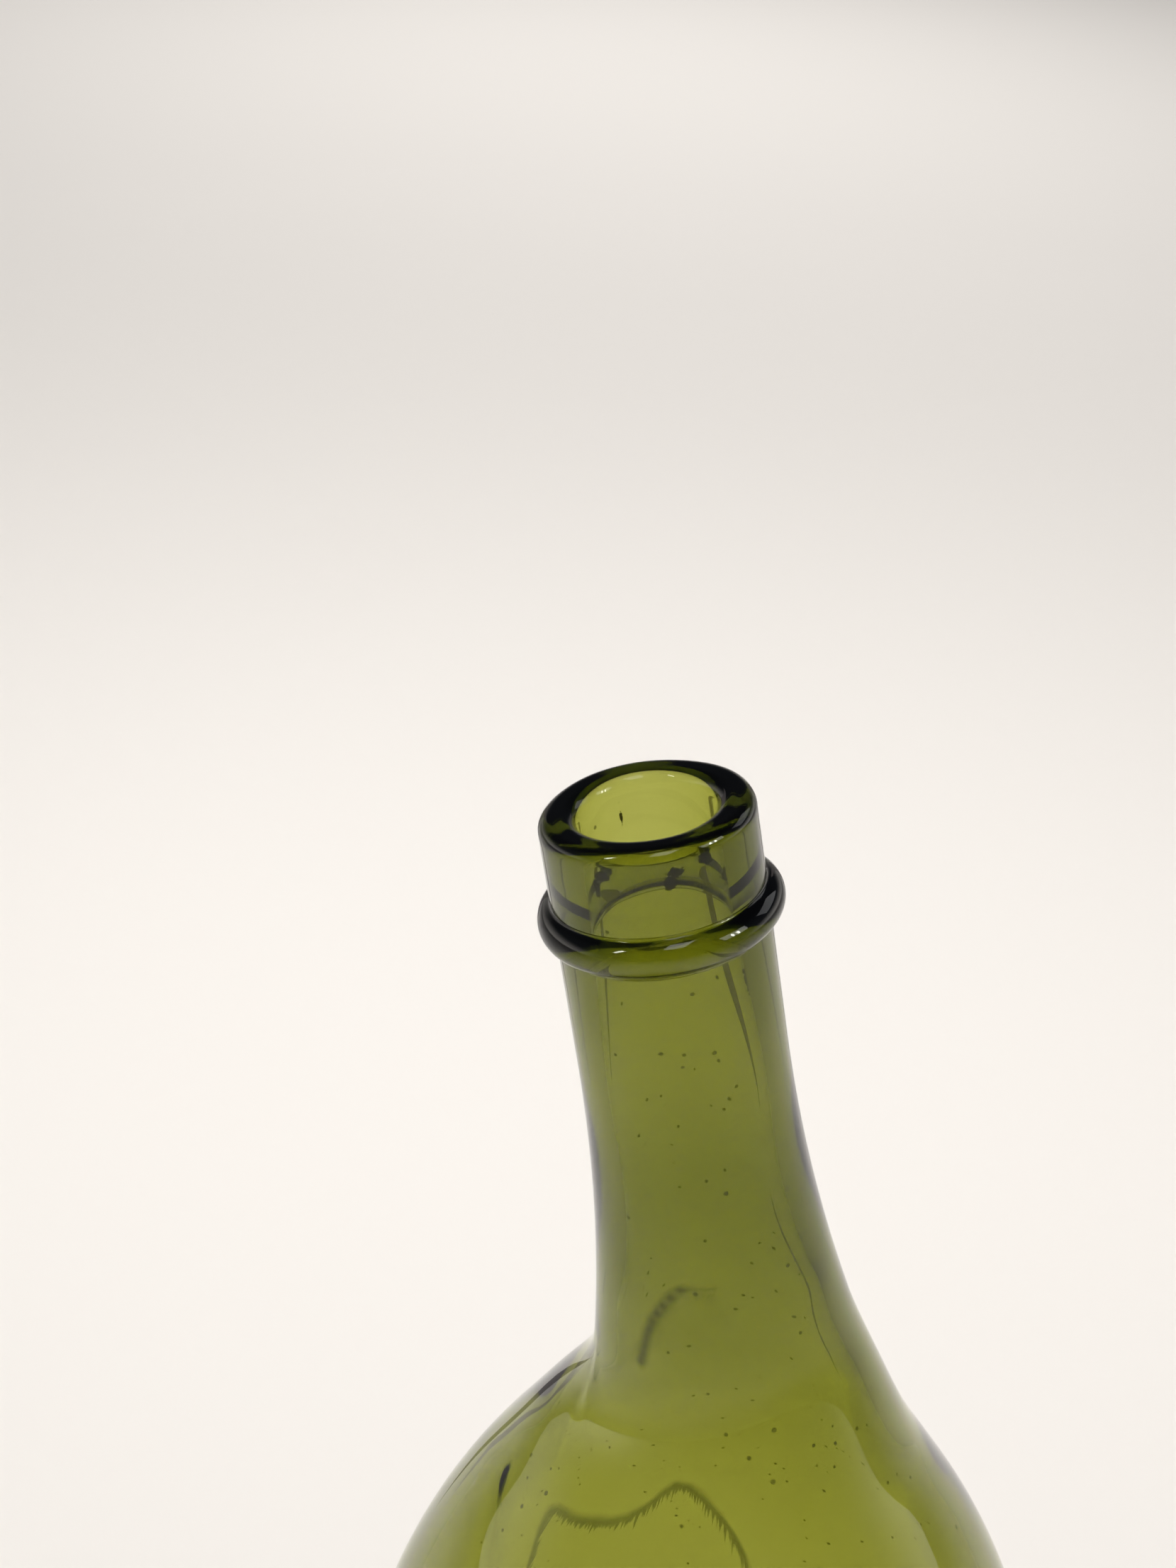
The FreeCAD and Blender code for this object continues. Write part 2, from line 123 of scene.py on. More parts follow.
def draw_bend(bm, vertex, end_radius, end_height, start_slope, end_slope, step):
    """Carry an outline on through the bend, leaving and arriving at the slopes of its neighbours."""
    start_radius = vertex.co.x
    start_height = vertex.co.z
    known = set(bm.verts)
    end = draw_line(bm, vertex, end_radius, end_height, step)
    length = end_height - start_height
    for between in set(bm.verts) - known:
        share = (between.co.z - start_height) / length
        start_weight = 2 * share ** 3 - 3 * share ** 2 + 1
        leave_weight = share ** 3 - 2 * share ** 2 + share
        meet_weight = share ** 3 - share ** 2
        between.co.x = (
            start_weight * start_radius + (1 - start_weight) * end_radius
            - length * (leave_weight * math.tan(start_slope) + meet_weight * math.tan(end_slope))
        )
    return end


# The flank of the push-up is tangent to its rim and to its tip
stand_outer = body_radius - heel_radius
stand_inner = stand_outer - standing_width
tip_height = pushup_depth - tip_radius
rise = tip_height - rim_radius
flank_bow = math.asin((rim_radius + tip_radius) / math.hypot(stand_inner, rise))
flank_angle = flank_bow + math.atan2(rise, stand_inner)
flank_x = math.sin(flank_angle)
flank_z = math.cos(flank_angle)

# The outside, from the tip of the push-up out over the standing ring and up to the lip. Points lie far apart
# on the plain lower body, closer on the shoulder and neck, and closest on the small rounds
COARSE = 0.004
FINE = 0.0014
SMOOTH = 2 * FINE
ROUND = 0.0004
quarter = math.pi / 2
pen = glass.verts.new((0, 0, pushup_depth))
pen = draw_arc(glass, pen, 0, tip_height, -flank_angle, COARSE / 2)
pen = draw_line(glass, pen, stand_inner - rim_radius * flank_x, rim_radius * (1 - flank_z), COARSE)
pen = draw_arc(glass, pen, stand_inner, rim_radius, flank_angle, COARSE / 4)
pen = draw_line(glass, pen, stand_outer, 0, COARSE)
pen = draw_arc(glass, pen, stand_outer, heel_radius, quarter, COARSE / 3)
pen = draw_line(glass, pen, body_radius, shoulder_height, COARSE)
pen = draw_arc(glass, pen, body_radius - shoulder_radius, shoulder_height, shoulder_angle, SMOOTH)
pen = draw_line(glass, pen, root_radius, root_height, SMOOTH)
foot_radius = neck_radius + flare_radius * (1 - math.cos(flare_angle))
flare_top = foot_height + flare_radius * math.sin(flare_angle)
pen = draw_bend(glass, pen, foot_radius, foot_height, shoulder_angle, flare_angle, SMOOTH)
pen = draw_arc(glass, pen, neck_radius + flare_radius, flare_top, -flare_angle, SMOOTH)
pen = draw_line(glass, pen, neck_radius, ring_middle - band_half, SMOOTH)
pen = draw_line(glass, pen, neck_radius, ring_middle + band_half, ROUND * 2)
pen = draw_line(glass, pen, neck_radius, mouth_height - lip_radius, FINE / 2)
pen = draw_arc(glass, pen, neck_radius - lip_radius, mouth_height - lip_radius, quarter, ROUND)
outside_points = set(glass.verts)

# The inside, over the mouth, down the bore and shoulder, and round the valley to the top of the push-up
pen = draw_line(glass, pen, bore_radius + mouth_radius, mouth_height, ROUND)
pen = draw_arc(glass, pen, bore_radius + mouth_radius, mouth_height - mouth_radius, quarter, ROUND)
bore_flare_top = foot_height + bore_flare_radius * math.sin(bore_flare_angle)
inner_root_radius = root_radius - body_wall / math.cos(shoulder_angle)
inner_shoulder_radius = shoulder_radius - body_wall
inner_cone_x = body_radius - shoulder_radius + inner_shoulder_radius * math.cos(shoulder_angle)
inner_cone_z = shoulder_height + inner_shoulder_radius * math.sin(shoulder_angle)
inner_tip_radius = tip_radius + base_thickness
valley_x = body_radius - body_wall - valley_radius
valley_run = (valley_x - (inner_tip_radius + valley_radius) * flank_x) / flank_z
valley_z = tip_height + (inner_tip_radius + valley_radius) * flank_z - valley_run * flank_x
pen = draw_line(glass, pen, bore_radius, ring_middle, ROUND)
pen = draw_line(glass, pen, bore_radius, bore_flare_top, FINE)
pen = draw_arc(glass, pen, bore_radius + bore_flare_radius, bore_flare_top, bore_flare_angle, FINE)
pen = draw_bend(glass, pen, inner_root_radius, root_height, bore_flare_angle, shoulder_angle, FINE)
pen = draw_line(glass, pen, inner_cone_x, inner_cone_z, FINE)
pen = draw_arc(glass, pen, body_radius - shoulder_radius, shoulder_height, -shoulder_angle, FINE)
pen = draw_line(glass, pen, body_radius - body_wall, valley_z, COARSE)
pen = draw_arc(glass, pen, valley_x, valley_z, -quarter - flank_angle, COARSE / 3)
pen = draw_line(glass, pen, inner_tip_radius * flank_x, tip_height + inner_tip_radius * flank_z, COARSE)
pen = draw_arc(glass, pen, 0, tip_height, flank_angle, COARSE / 2)
pen.co.x = 0
for vertex in glass.verts:
    vertex[inside] = 0 if vertex in outside_points else 1

# Turned about the axis of the body
TURNS = 240
MERGE = 0.000002
bmesh.ops.spin(
    glass, geom=glass.verts[:] + glass.edges[:], cent=(0, 0, 0), axis=(0, 0, 1), angle=2 * math.pi,
    steps=TURNS, use_merge=True,
)
bmesh.ops.remove_doubles(glass, verts=glass.verts, dist=MERGE)
bmesh.ops.recalc_face_normals(glass, faces=glass.faces)
skin = 0.001
for face in glass.faces:
    middle = face.calc_center_median()
    on_outside = math.hypot(middle.x, middle.y) > neck_radius - skin
    face[fused] = 1 if on_outside and abs(middle.z - ring_middle) < band_half else 0


def lean_over(point):
    """Carry a point of the straight bottle to its place about the bent centre line."""
    rise = point.z - root_height
    if rise <= 0:
        return point
    # The tilt grows smoothly along the bend, and side and drop are its sum up to this point
    share = min(1, rise / bend_length)
    tilt = lean_angle * (3 * share ** 2 - 2 * share ** 3)
    side = math.sin(lean_angle) * (share ** 3 - share ** 4 / 2)
    drop = (1 - math.cos(lean_angle)) * (9 / 5 * share ** 5 - 2 * share ** 6 + 4 / 7 * share ** 7)
    along = max(0, rise - bend_length)
    centre_x = -bend_length * side - along * math.sin(lean_angle)
    centre_z = root_height + bend_length * (share - drop) + along * math.cos(lean_angle)
    return Vector((centre_x + point.x * math.cos(tilt), point.y, centre_z + point.x * math.sin(tilt)))


def curve_through(*points):
    """A smooth line through a few points, each a turn in degrees and a height in millimetres."""
    knots = [Vector(point) for point in points]
    points_a_span = 4
    line = []
    # A handle is a sixth of the way between a knot's two neighbours, so the line runs through without a kink
    for before, start, end, after in zip(knots[:1] + knots, knots, knots[1:], knots[2:] + knots[-1:]):
        leave = start + (end - before) / 6
        arrive = end - (after - start) / 6
        line += interpolate_bezier(start, leave, arrive, end, points_a_span)[:-1]
    return line + knots[-1:]


# Lines on the wall, through a few points each, chosen to match the photograph: a dark frayed line on the
# shoulder, the edge of a thick place at the foot of the neck, and folds where the glass crept in the mould,
# on the left shoulder and at the neck's root
dark_frayed_line = curve_through(
    (209, 209), (205, 216), (215, 217.5), (230, 221), (243, 227), (257, 225), (268, 220), (271, 212)
)
thick_edge = curve_through((217, 243), (224, 250), (240, 255), (255, 256), (274, 255))
left_fold = curve_through((178, 211), (196, 205), (222, 190))
neck_fold = curve_through((174, 246), (184, 236), (198, 228))
FAR = 1.0


def line_distance(point, line):
    """How far a point of the wall lies from a line on it, below 0 on the right of the line's own way."""
    radius = math.hypot(point.x, point.y)
    turn = math.degrees(math.atan2(point.y, point.x)) % 360
    nearest = FAR
    for (start_turn, start_height), (end_turn, end_height) in zip(line, line[1:]):
        start = Vector((math.radians(start_turn - turn) * radius, start_height / 1000 - point.z))
        run_round = math.radians(end_turn - start_turn) * radius
        run = Vector((run_round, (end_height - start_height) / 1000))
        share = min(1, max(0, -start.dot(run) / run.length_squared))
        away = (start + share * run).length
        if away < abs(nearest):
            nearest = math.copysign(away, run.y * start.x - run.x * start.y)
    return nearest


def ramp(value, start, end):
    """A smooth step from 0 at the start to 1 at the end."""
    share = min(1, max(0, (value - start) / (end - start)))
    return share * share * (3 - 2 * share)


def ripple(point, across, along, shift):
    """A smooth wave between about -1 and 1, of the given lengths round the wall and up it."""
    return noise.noise(Vector((point.x / across, point.y / across, point.z / along + shift)))


# The walls are uneven. The outside has faint waves. The inside has waves drawn out along the neck, rounder
# swells, fine cords, a thick belt at the neck's foot, a thin one above it, and a bore that is wider across
lip_calm = 0.008
heel_calm = 0.004
heel_calm_run = 0.02
skin_wave = 0.00005
inner_wave = 0.00011
inner_swell = 0.00028
inner_cord = 0.00003
neck_start = 0.235
neck_full = 0.250
thick_height = 0.254
thick_spread = 0.016
thick_depth = 0.0006
thin_height = 0.280
thin_spread = 0.020
thin_depth = 0.00018
wider_all_round = 0.0002
wider_across = 0.0009
wider_full = 0.272
wider_top = 0.318


def unevenness(point, on_inside):
    """How far the wall stands out from its true round at a point, outside or inside."""
    calm = min(1, max(0, (mouth_height - point.z) / lip_calm))
    calm *= min(1, max(0, (point.z - heel_calm) / heel_calm_run))
    if not on_inside:
        return calm * skin_wave * ripple(point, across=0.018, along=0.030, shift=9)
    on_neck = ramp(point.z, neck_start, neck_full)
    waves = inner_wave * ripple(point, across=0.016, along=0.045, shift=0)
    waves += inner_swell * ripple(point, across=0.040, along=0.070, shift=5)
    waves += inner_cord * on_neck * ripple(point, across=0.0030, along=0.120, shift=3)
    thick = thick_depth * math.exp(-((point.z - thick_height) / thick_spread) ** 2)
    thin = thin_depth * math.exp(-((point.z - thin_height) / thin_spread) ** 2)
    sideways = point.x ** 2 / (point.x ** 2 + point.y ** 2)
    oval = (wider_all_round + wider_across * sideways) * on_neck * ramp(point.z, wider_top, wider_full)
    return calm * waves + oval + thin - thick


# Dirt left in the bore by corks: turn in degrees, height, half width and half height in millimetres
smudges = (
    (229, 318.5, 0.8, 0.8), (224, 317, 0.4, 1.5), (281, 318.5, 1, 0.8), (277, 317, 0.7, 1),
    (305, 319, 0.8, 1), (325, 315.5, 1.5, 1.5), (335, 312.5, 1, 1), (325, 300, 0.5, 3),
    (110, 317.5, 0.2, 1.2),
)

# The marks and folds lie between these heights, and fade out towards their ends
inner_marks_low = 0.17
bore_low = 0.28
# The next two set how far the painted shade along the crease reaches, and how much narrower it grows towards
# one end
crease_shade_reach = 0.0013
crease_shade_narrowing = 0.0009
left_fold_depth = 0.00032
left_fold_width = 0.0019
step_depth = 0.0004
step_width = 0.0015
step_fade_start = 0.004
step_fade_end = 0.014
neck_fold_depth = 0.0005
neck_fold_width = 0.0018
neck_fold_low = 0.22
neck_fold_high = 0.25
axis_reach = 0.001
lip_wave_height = 0.00018
lip_wave_length = 0.011
lip_wave_reach = 0.006
for vertex in glass.verts:
    radius = math.hypot(vertex.co.x, vertex.co.y)
    turn = math.degrees(math.atan2(vertex.co.y, vertex.co.x)) % 360
    height = vertex.co.z
    on_inside = vertex[inside] > 0.5
    vertex[frayed_line_distance] = FAR
    vertex[painted_crease_shade] = -FAR
    vertex[dirt] = -1
    if radius <= axis_reach:
        continue
    outward = unevenness(vertex.co, on_inside)
    if on_inside and inner_marks_low < height < bore_low:
        vertex[frayed_line_distance] = line_distance(vertex.co, dark_frayed_line)
        edge = line_distance(vertex.co, thick_edge)
        # Painted shade along the crease: how far inside its reach this point lies
        narrower = crease_shade_narrowing * ramp(turn, start=235, end=274)
        vertex[painted_crease_shade] = crease_shade_reach - abs(edge) - narrower
        beside = line_distance(vertex.co, left_fold) / left_fold_width
        outward -= left_fold_depth * math.exp(-beside ** 2)
        if edge < 0:
            step = ramp(-edge, 0, step_width) * ramp(-edge, step_fade_end, step_fade_start)
            fading = ramp(turn, start=274, end=258) * ramp(height, start=0.241, end=0.247)
            outward -= step_depth * step * fading
    if not on_inside and neck_fold_low < height < neck_fold_high:
        beside = line_distance(vertex.co, neck_fold) / neck_fold_width
        fading = ramp(height, start=0.229, end=0.233) * ramp(height, start=0.245, end=0.240)
        fading *= ramp(turn, start=183, end=190)
        outward += neck_fold_depth * fading * beside * math.exp(-beside ** 2)
    if on_inside and height > bore_low:
        for smudge_turn, smudge_height, half_width, half_height in smudges:
            across = math.radians(turn - smudge_turn) * bore_radius * 1000 / half_width
            along = (height * 1000 - smudge_height) / half_height
            vertex[dirt] = max(vertex[dirt], 1 - math.hypot(across, along))
    vertex.co.x *= 1 + outward / radius
    vertex.co.y *= 1 + outward / radius
    lip_wave = noise.noise(Vector((vertex.co.x / lip_wave_length, vertex.co.y / lip_wave_length, 2)))
    vertex.co.z += lip_wave_height * lip_wave * ramp(height, mouth_height - lip_wave_reach, mouth_height)
    vertex.co = lean_over(vertex.co)

body_mesh = bpy.data.meshes.new("bottle_glass")
glass.to_mesh(body_mesh)
glass.free()
body_mesh.shade_smooth()
bottle = bpy.data.objects.new("bottle_glass", body_mesh)
bpy.context.collection.objects.link(bottle)


def linear(hex_colour):
    """An sRGB hex colour as linear red, green, blue and a full alpha."""
    channels = [int(hex_colour[start:start + 2], 16) / 255 for start in (1, 3, 5)]
    return [c / 12.92 if c <= 0.04045 else ((c + 0.055) / 1.055) ** 2.4 for c in channels] + [1]


def node(material, kind, settings=(), **sockets):
    """Add a node with its settings; each socket is given a value or the output that feeds it."""
    added = material.node_tree.nodes.new(kind)
    for name, setting in dict(settings).items():
        setattr(added, name, setting)
    for name, given in sockets.items():
        socket = added.inputs[int(name[1:])] if name[1:].isdigit() else added.inputs[name.replace("_", " ")]
        if isinstance(given, bpy.types.NodeSocket):
            material.node_tree.links.new(given, socket)
        else:
            socket.default_value = given
    return added


# Olive-green bottle glass, blown: clear and glossy, and deeper in colour the more of it the eye looks through
olive_glass = bpy.data.materials.new("olive_bottle_glass")
olive_glass.use_nodes = True
olive_glass.node_tree.nodes.clear()
smooth = {"interpolation_type": "SMOOTHSTEP"}
multiply = {"operation": "MULTIPLY"}
darker_of = {"operation": "MAXIMUM"}
place = node(olive_glass, "ShaderNodeTexCoord")
spot = place.outputs["Object"]

# Faint smears from handling take a little of the gloss
smear_size = 0.012
smears = node(olive_glass, "ShaderNodeTexNoise", Vector=spot, Scale=1 / smear_size, Detail=4.0, Roughness=0.6)
gloss = node(
    olive_glass, "ShaderNodeMapRange", s0=smears.outputs[0], From_Min=0.35, From_Max=0.75, To_Min=0.0,
    To_Max=0.03,
)

# Where the ring is fused to the neck there is no surface, and light goes straight on from one to the other
glass_ior = 1.52
seam = node(olive_glass, "ShaderNodeAttribute", {"attribute_name": "fused"})
bending = node(olive_glass, "ShaderNodeMapRange", s0=seam.outputs["Fac"], To_Min=glass_ior, To_Max=1.0)

# A dark line on the inside of the shoulder, soft above and frayed into fine teeth below
frayed_line_radius = 0.026
tooth_width = 0.0004
tooth_length = 0.0011
frayed_line_narrow = 0.0005
frayed_line_wide = 0.0013
frayed_line_patch = 0.010
frayed_line = node(olive_glass, "ShaderNodeAttribute", {"attribute_name": "frayed_line_distance"})
round_place = node(olive_glass, "ShaderNodeSeparateXYZ", Vector=spot)
turned = node(
    olive_glass, "ShaderNodeMath", {"operation": "ARCTAN2"}, s0=round_place.outputs["Y"],
    s1=round_place.outputs["X"],
)
teeth = node(
    olive_glass, "ShaderNodeTexNoise", {"noise_dimensions": "1D"}, W=turned.outputs[0],
    Scale=frayed_line_radius / tooth_width, Detail=3.0,
)
tooth = node(
    olive_glass, "ShaderNodeMapRange", s0=teeth.outputs[0], From_Min=0.4, From_Max=0.75, To_Max=tooth_length
)
frayed = node(
    olive_glass, "ShaderNodeMath", {"operation": "ADD"}, s0=frayed_line.outputs["Fac"], s1=tooth.outputs[0]
)
spread = node(olive_glass, "ShaderNodeTexNoise", Vector=spot, Scale=1 / frayed_line_patch, Detail=1.0)
reach = node(
    olive_glass, "ShaderNodeMapRange", s0=spread.outputs[0], From_Min=0.35, From_Max=0.65,
    To_Min=frayed_line_narrow, To_Max=frayed_line_wide,
)
above = node(
    olive_glass, "ShaderNodeMapRange", smooth, s0=frayed_line.outputs["Fac"], From_Min=reach.outputs[0],
    From_Max=0.0, To_Max=0.75,
)
below = node(
    olive_glass, "ShaderNodeMapRange", smooth, s0=frayed.outputs[0], From_Min=-0.0005, From_Max=-0.0001
)
frayed_line_mark = node(olive_glass, "ShaderNodeMath", multiply, s0=above.outputs[0], s1=below.outputs[0])

# Along the crease over the thick place a thin dark line of painted shade is drawn, and dirt lies in ragged
# patches
dirt_grain = 0.0008
crease_shade_distance = node(olive_glass, "ShaderNodeAttribute", {"attribute_name": "painted_crease_shade"})
painted_crease_shade_mark = node(
    olive_glass, "ShaderNodeMapRange", smooth, s0=crease_shade_distance.outputs["Fac"], From_Min=0.0, From_Max=crease_shade_reach,
    To_Max=0.95,
)
soiled = node(olive_glass, "ShaderNodeAttribute", {"attribute_name": "dirt"})
ragged = node(olive_glass, "ShaderNodeTexNoise", Vector=spot, Scale=1 / dirt_grain, Detail=3.0, Roughness=0.6)
dirty = node(
    olive_glass, "ShaderNodeMath", {"operation": "MULTIPLY_ADD"}, s0=ragged.outputs[0], s1=2.0,
    s2=soiled.outputs["Fac"],
)
dirt_mark = node(
    olive_glass, "ShaderNodeMapRange", smooth, s0=dirty.outputs[0], From_Min=0.9, From_Max=1.15
)
frayed_line_or_dirt = node(
    olive_glass, "ShaderNodeMath", darker_of, s0=frayed_line_mark.outputs[0], s1=dirt_mark.outputs[0]
)
inner_wall = node(olive_glass, "ShaderNodeAttribute", {"attribute_name": "inside"})
inner_marks = node(
    olive_glass, "ShaderNodeMath", multiply, s0=frayed_line_or_dirt.outputs[0], s1=inner_wall.outputs["Fac"]
)

# Specks of grit lie in the glass here and there, up to half a millimetre in radius
speck_spacing = 0.003
speck_radius = 0.000465
grit = node(olive_glass, "ShaderNodeTexVoronoi", Vector=spot, Scale=1 / speck_spacing)
chance = node(olive_glass, "ShaderNodeSeparateColor", Color=grit.outputs["Color"])
grain = node(
    olive_glass, "ShaderNodeMapRange", s0=chance.outputs[0], From_Min=0.35, From_Max=1.0, To_Min=0.001,
    To_Max=speck_radius / speck_spacing,
)
heart = node(olive_glass, "ShaderNodeMath", multiply, s0=grain.outputs[0], s1=0.6)
speck = node(
    olive_glass, "ShaderNodeMapRange", smooth, s0=grit.outputs["Distance"], From_Min=grain.outputs[0],
    From_Max=heart.outputs[0], To_Max=0.8,
)
# The marks, the specks and the painted shade along the crease all darken the glass's colour towards near
# black
lines_and_painted_shade = node(olive_glass, "ShaderNodeMath", darker_of, s0=inner_marks.outputs[0], s1=painted_crease_shade_mark.outputs[0])
marks_and_painted_shade = node(olive_glass, "ShaderNodeMath", darker_of, s0=lines_and_painted_shade.outputs[0], s1=speck.outputs[0])
stain_and_painted_shade = node(
    olive_glass, "ShaderNodeMix", {"data_type": "RGBA"}, s0=marks_and_painted_shade.outputs[0], s6=linear("#FFFFFF"),
    s7=linear("#14110A"),
)
surface = node(
    olive_glass, "ShaderNodeBsdfPrincipled", Base_Color=stain_and_painted_shade.outputs[2], Roughness=gloss.outputs[0],
    IOR=bending.outputs[0], Transmission_Weight=1.0,
)
depth = node(olive_glass, "ShaderNodeVolumeAbsorption", Color=linear("#D4D73C"), Density=455.0)
node(olive_glass, "ShaderNodeOutputMaterial", Surface=surface.outputs[0], Volume=depth.outputs[0])
body_mesh.materials.append(olive_glass)

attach(bottle, "root")
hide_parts("bottle_body")

# String ring
# A second small gather, trailed round the neck below the lip while hot and left as it fell. The string that
# held the cork down was tied under it. It is fused to the neck, with a small fillet above and below.
ring_sink = 0.0002
seat_margin = 0.00001
ring_fuller = 0.00012
ring_fuller_length = 0.009
ring_wander = 0.00025
ring_wander_length = 0.012
fillet_angle = math.atan2(band_half, neck_radius + ring_fillet - ring_centre)
trail = bmesh.new()
ring_seat = trail.faces.layers.float.new("fused")
pen = trail.verts.new((neck_radius, 0, ring_middle - band_half))
pen = draw_arc(trail, pen, neck_radius + ring_fillet, ring_middle - band_half, -fillet_angle, ROUND / 2)
pen = draw_arc(trail, pen, ring_centre, ring_middle, 2 * fillet_angle, ROUND)
pen = draw_arc(trail, pen, neck_radius + ring_fillet, ring_middle + band_half, -fillet_angle, ROUND / 2)
pen = draw_line(trail, pen, neck_radius - ring_sink, ring_middle + band_half - ring_sink, ROUND)
pen = draw_line(trail, pen, neck_radius - ring_sink, ring_middle - band_half + ring_sink, ROUND * 2)
pen = draw_line(trail, pen, neck_radius, ring_middle - band_half, ROUND)
bmesh.ops.remove_doubles(trail, verts=trail.verts, dist=MERGE)
bmesh.ops.spin(
    trail, geom=trail.verts[:] + trail.edges[:], cent=(0, 0, 0), axis=(0, 0, 1), angle=2 * math.pi,
    steps=TURNS, use_merge=True,
)
bmesh.ops.remove_doubles(trail, verts=trail.verts, dist=MERGE)
bmesh.ops.recalc_face_normals(trail, faces=trail.faces)
for face in trail.faces:
    middle = face.calc_center_median()
    face[ring_seat] = 1 if math.hypot(middle.x, middle.y) < neck_radius - seat_margin else 0
for vertex in trail.verts:
    radius = math.hypot(vertex.co.x, vertex.co.y)
    at_neck = Vector((vertex.co.x * neck_radius / radius, vertex.co.y * neck_radius / radius, vertex.co.z))
    out_of_neck = ramp(radius, neck_radius, neck_radius + ring_proud)
    fuller = noise.noise(Vector((at_neck.x / ring_fuller_length, at_neck.y / ring_fuller_length, 4)))
    wander = noise.noise(Vector((at_neck.x / ring_wander_length, at_neck.y / ring_wander_length, 7)))
    wider = 1 + (unevenness(at_neck, False) + ring_fuller * fuller * out_of_neck) / radius
    vertex.co.x *= wider
    vertex.co.y *= wider
    vertex.co.z += ring_wander * wander * out_of_neck
    vertex.co = lean_over(vertex.co)
ring_mesh = bpy.data.meshes.new("string_ring_glass")
trail.to_mesh(ring_mesh)
trail.free()
ring_mesh.shade_smooth()
ring = bpy.data.objects.new("string_ring_glass", ring_mesh)
bpy.context.collection.objects.link(ring)
ring_mesh.materials.append(olive_glass)

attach(ring, "root")
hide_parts("string_ring")

# Stage
# A plain pale floor under soft studio light, seen as the photograph was taken: from a little above the mouth,
# with the neck leaning to the left.
floor_radius = 9
floor_bm = bmesh.new()
bmesh.ops.create_circle(floor_bm, cap_ends=True, segments=96, radius=floor_radius)
floor_mesh = bpy.data.meshes.new("floor")
floor_bm.to_mesh(floor_mesh)
floor_bm.free()
floor = bpy.data.objects.new("floor", floor_mesh)
bpy.context.collection.objects.link(floor)
paper = bpy.data.materials.new("matt_white_paper")
paper.use_nodes = True
paper.node_tree.nodes.clear()
sheet = node(paper, "ShaderNodeBsdfPrincipled", Base_Color=linear("#F2ECE5"), Roughness=0.9)
node(paper, "ShaderNodeOutputMaterial", Surface=sheet.outputs[0])
floor_mesh.materials.append(paper)

# Two grey cards stand just outside the picture. They show only in the glass, where they draw its edges
card_height = 0.5
card_length = 1.2
card_y = 0.95
card_paper = bpy.data.materials.new("grey_card")
card_paper.use_nodes = True
card_paper.node_tree.nodes.clear()
card_tone = node(card_paper, "ShaderNodeEmission", Color=linear("#908A88"), Strength=1.0)
node(card_paper, "ShaderNodeOutputMaterial", Surface=card_tone.outputs[0])
for card_name, card_x, card_turn in (("left_card", -0.23, 97), ("right_card", 0.39, 71)):
    upright = (
        Matrix.Translation((card_x, card_y, card_height / 2))
        @ Matrix.Rotation(math.radians(card_turn), 4, "Z")
        @ Matrix.Rotation(quarter, 4, "X")
        @ Matrix.Diagonal((card_length, card_height, 1, 1))
    )
    card_bm = bmesh.new()
    bmesh.ops.create_grid(card_bm, x_segments=1, y_segments=1, size=0.5, matrix=upright)
    card_mesh = bpy.data.meshes.new(card_name)
    card_bm.to_mesh(card_mesh)
    card_bm.free()
    card_mesh.materials.append(card_paper)
    card = bpy.data.objects.new(card_name, card_mesh)
    bpy.context.collection.objects.link(card)
    card.visible_camera = False
    card.visible_diffuse = False
    card.visible_shadow = False

# The room is dim overhead and pale along the horizon, palest at the sides and dim behind the camera
horizon_top = 0.35
front_share = 0.12
side_boost = 2.4
world = bpy.data.worlds.new("studio")
world.use_nodes = True
world.node_tree.nodes.clear()
bpy.context.scene.world = world
look = node(world, "ShaderNodeTexCoord")
way = node(world, "ShaderNodeSeparateXYZ", Vector=look.outputs["Generated"])
low_down = node(
    world, "ShaderNodeMapRange", smooth, s0=way.outputs["Z"], From_Min=0.0, From_Max=horizon_top, To_Min=1.0,
    To_Max=0.0,
)
behind = node(
    world, "ShaderNodeMapRange", smooth, s0=way.outputs["Y"], From_Min=-0.5, From_Max=0.2, To_Min=front_share,
    To_Max=1.0,
)
pale = node(world, "ShaderNodeMath", multiply, s0=low_down.outputs[0], s1=behind.outputs[0])
room = node(
    world, "ShaderNodeMix", {"data_type": "RGBA"}, s0=pale.outputs[0], s6=linear("#33363A"),
    s7=linear("#BEBAB4"),
)
sideways = node(world, "ShaderNodeMath", {"operation": "ABSOLUTE"}, s0=way.outputs["X"])
window_side = node(
    world, "ShaderNodeMapRange", smooth, s0=sideways.outputs[0], From_Min=0.5, From_Max=1.0, To_Min=1.0,
    To_Max=side_boost,
)
sky = node(world, "ShaderNodeBackground", Color=room.outputs[2], Strength=window_side.outputs[0])
node(world, "ShaderNodeOutputWorld", Surface=sky.outputs[0])


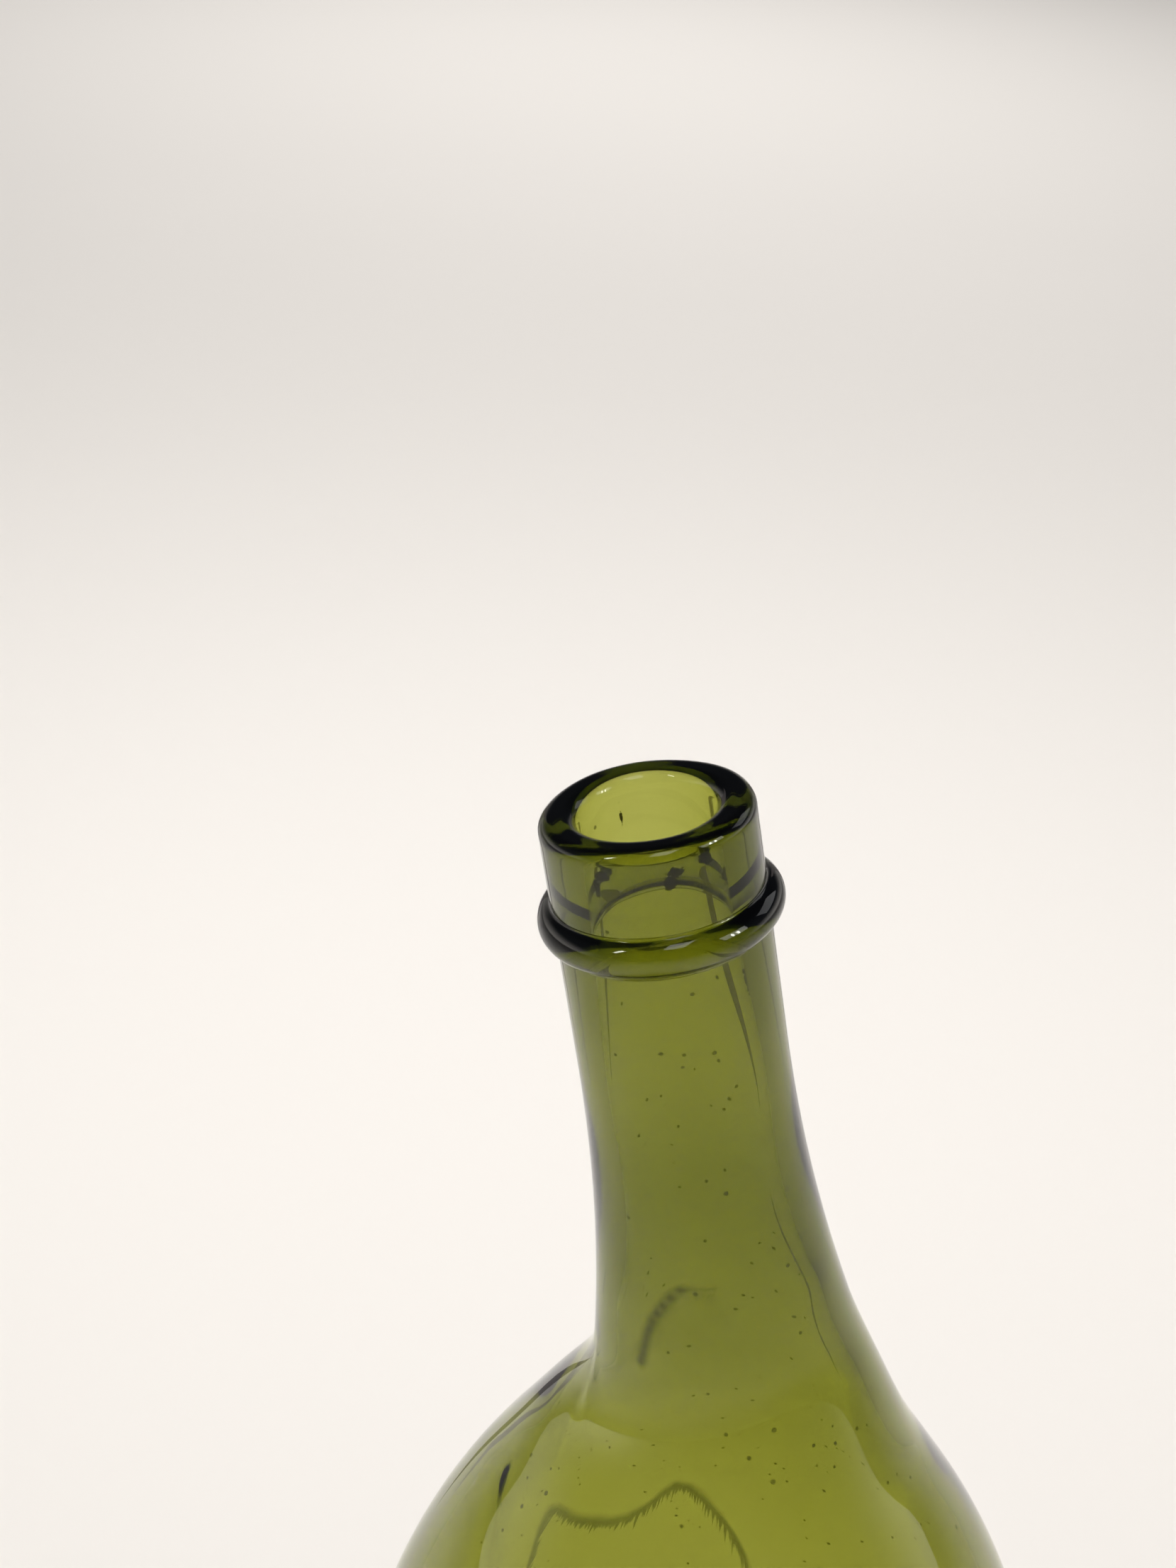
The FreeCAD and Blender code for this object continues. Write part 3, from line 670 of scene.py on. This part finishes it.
def soft_light(name, place, target, width, length, power, mirrored):
    """A soft light panel that faces a point, and shows in the glass only where it is mirrored."""
    lamp = bpy.data.lights.new(name, "AREA")
    lamp.shape = "RECTANGLE"
    lamp.size = width
    lamp.size_y = length
    lamp.energy = power
    light = bpy.data.objects.new(name, lamp)
    bpy.context.collection.objects.link(light)
    light.location = place
    light.rotation_euler = (Vector(target) - Vector(place)).to_track_quat("-Z", "Y").to_euler()
    light.visible_camera = False
    light.visible_glossy = mirrored
    light.visible_transmission = mirrored


# Wide panels light the floor and are kept out of the glass. The others draw highlights on the lip and ring
neck_top = (0, 0, 0.3)
soft_light("room_light", (0, 0, 6.0), (0, 0, 0), 16.0, 16.0, 200.0, False)
soft_light("back_light", (-0.04, 0.48, 1.0), (-0.04, 0.48, 0), 0.6, 0.6, 6.2, False)
soft_light("far_light", (0.25, 2.8, 1.6), (0.25, 2.8, 0), 1.2, 2.4, 28.0, False)
soft_light("left_light", (-1.05, -0.47, 1.27), neck_top, 0.10, 0.30, 1.7, True)
soft_light("right_light", (1.00, -0.66, 1.17), neck_top, 0.06, 0.26, 1.2, True)
soft_light("right_light_2", (1.08, -0.54, 1.17), neck_top, 0.06, 0.26, 1.2, True)
soft_light("top_light", (-0.10, -0.60, 1.55), neck_top, 0.40, 0.60, 1.8, True)
soft_light("window_light", (1.2, 0.65, 1.2), neck_top, 0.9, 0.6, 1.3, True)
soft_light("side_light", (1.1, -0.63, 1.30), neck_top, 0.7, 0.5, 2.6, True)

# The camera looks down past the mouth, a little to the right, and is slightly rolled
camera_place = (-0.0580, -0.2956, 0.4594)
camera_yaw = math.radians(6.12)
camera_pitch = math.radians(24.47)
camera_roll = math.radians(3.66)
photo_height = 2212
photo_focal_length = 3600
camera_data = bpy.data.cameras.new("camera")
camera = bpy.data.objects.new("camera", camera_data)
bpy.context.collection.objects.link(camera)
camera_data.sensor_width = 36
camera_data.lens = camera_data.sensor_width * photo_focal_length / photo_height
camera_data.clip_start = 0.01
camera.matrix_world = (
    Matrix.Translation(camera_place)
    @ Matrix.Rotation(-camera_yaw, 4, "Z")
    @ Matrix.Rotation(quarter - camera_pitch, 4, "X")
    @ Matrix.Rotation(camera_roll, 4, "Z")
)
bpy.context.scene.camera = camera
bpy.context.scene.view_settings.view_transform = "Standard"
bpy.context.scene.cycles.max_bounces = 32
bpy.context.scene.cycles.transmission_bounces = 32
bpy.context.scene.cycles.glossy_bounces = 16
